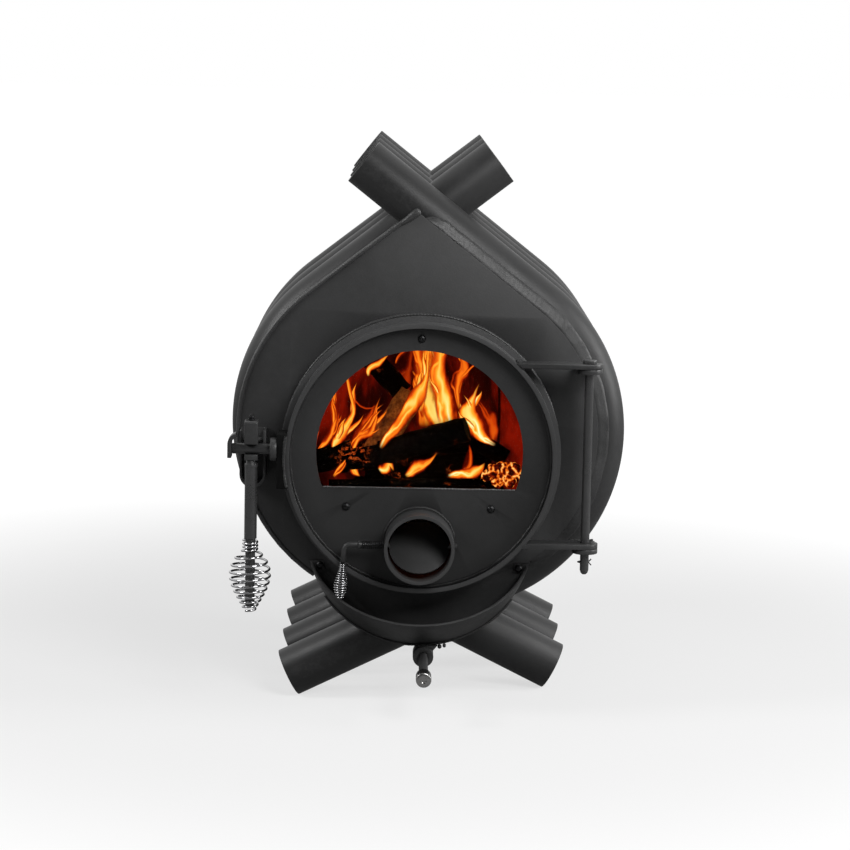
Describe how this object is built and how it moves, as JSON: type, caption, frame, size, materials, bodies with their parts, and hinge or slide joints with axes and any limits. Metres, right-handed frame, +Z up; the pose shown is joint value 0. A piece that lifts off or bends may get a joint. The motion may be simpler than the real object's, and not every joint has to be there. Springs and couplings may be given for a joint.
{
  "type": "camping wood stove",
  "caption": "Hot-air wood stove of crossed bent tubes round a firebox, with a round glass door, coil-grip latch, air damper, pull rod and rear flue collar.",
  "frame": {"origin": "on the floor under the middle of the bounding box", "axes": "+Z up, the door faces -Y, the door's hinge is at +X"},
  "size_m": [0.4568, 0.6564, 0.6491],
  "materials": {
    "stove_paint": "matte heat-resistant paint",
    "scaled_steel": "heat-scaled plate",
    "dark_steel": "blackened",
    "bright_steel": "turned bright",
    "grip_chrome": "plated wire",
    "gasket_rope": "flat glass-fibre rope",
    "glass_seal_fibre": "glass-fibre tape",
    "ceramic_glass": "clear, polished"
  },
  "bodies": {
    "stove": {"hot_air_tube_1": "stove_paint", "hot_air_tube_2": "stove_paint", "hot_air_tube_3": "stove_paint", "hot_air_tube_4": "stove_paint", "hot_air_tube_5": "stove_paint", "hot_air_tube_6": "stove_paint", "hot_air_tube_7": "stove_paint", "side_strip_1": "stove_paint", "side_strip_2": "stove_paint", "side_strip_3": "stove_paint", "side_strip_4": "stove_paint", "side_strip_5": "stove_paint", "front_side_strip": "stove_paint", "rear_side_strip": "stove_paint", "front_plate": "stove_paint", "rear_plate": "stove_paint", "baffle_plate": "scaled_steel", "door_collar": "stove_paint", "hinge_bracket_upper": "stove_paint", "hinge_bracket_lower": "stove_paint", "hinge_pin": "stove_paint", "hinge_cotter": "dark_steel", "latch_keeper": "stove_paint", "keeper_bar": "stove_paint", "ash_apron": "stove_paint", "apron_screw_1": "dark_steel", "apron_screw_2": "dark_steel", "rod_bush": "stove_paint", "flue_collar": "stove_paint"},
    "door": {"door_shell": "stove_paint", "door_gasket": "gasket_rope", "glass_seal": "glass_seal_fibre", "window_glass": "ceramic_glass", "glass_clip_1": "stove_paint", "glass_clip_2": "stove_paint", "glass_clip_3": "stove_paint", "window_screw_1": "dark_steel", "window_screw_2": "dark_steel", "window_screw_3": "dark_steel", "door_leaf_upper": "stove_paint", "door_leaf_lower": "stove_paint", "air_inlet_pipe": "stove_paint", "latch_arm": "stove_paint"},
    "latch": {"latch_spindle": "stove_paint", "latch_claw": "stove_paint", "latch_lever": "stove_paint", "latch_cap_screw": "dark_steel", "latch_handle": "stove_paint", "latch_grip": "grip_chrome"},
    "air_damper": {"damper_shaft": "stove_paint", "damper_plate": "stove_paint", "damper_washer": "dark_steel", "damper_spring": "dark_steel", "damper_grip": "grip_chrome"},
    "pull_rod": {"pull_rod": "stove_paint", "rod_knob": "bright_steel"},
    "flue_damper": {"flue_damper_shaft": "stove_paint", "flue_damper_plate": "stove_paint"}
  },
  "joints": [
    {"name": "door_hinge", "type": "hinge", "parent": "stove", "child": "door", "pos_m": [0.182, -0.24845, 0.20186], "axis": [0, 0, 1], "range_deg": [0, 130]},
    {"name": "latch_turn", "type": "hinge", "parent": "door", "child": "latch", "pos_m": [-0.1985, -0.26425, 0.30596], "axis": [-1, 0, 0], "range_deg": [-8, 70]},
    {"name": "air_damper_turn", "type": "hinge", "parent": "door", "child": "air_damper", "pos_m": [-0.007, -0.26845, 0.19886], "axis": [1, 0, 0], "range_deg": [-139, 2]},
    {"name": "pull_rod_slide", "type": "slide", "parent": "stove", "child": "pull_rod", "axis": [0, -1, 0], "range_m": [0, 0.025]},
    {"name": "flue_damper_turn", "type": "hinge", "parent": "stove", "child": "flue_damper", "pos_m": [0, 0.26925, 0.45486], "axis": [1, 0, 0], "range_deg": [-90, 0]}
  ]
}
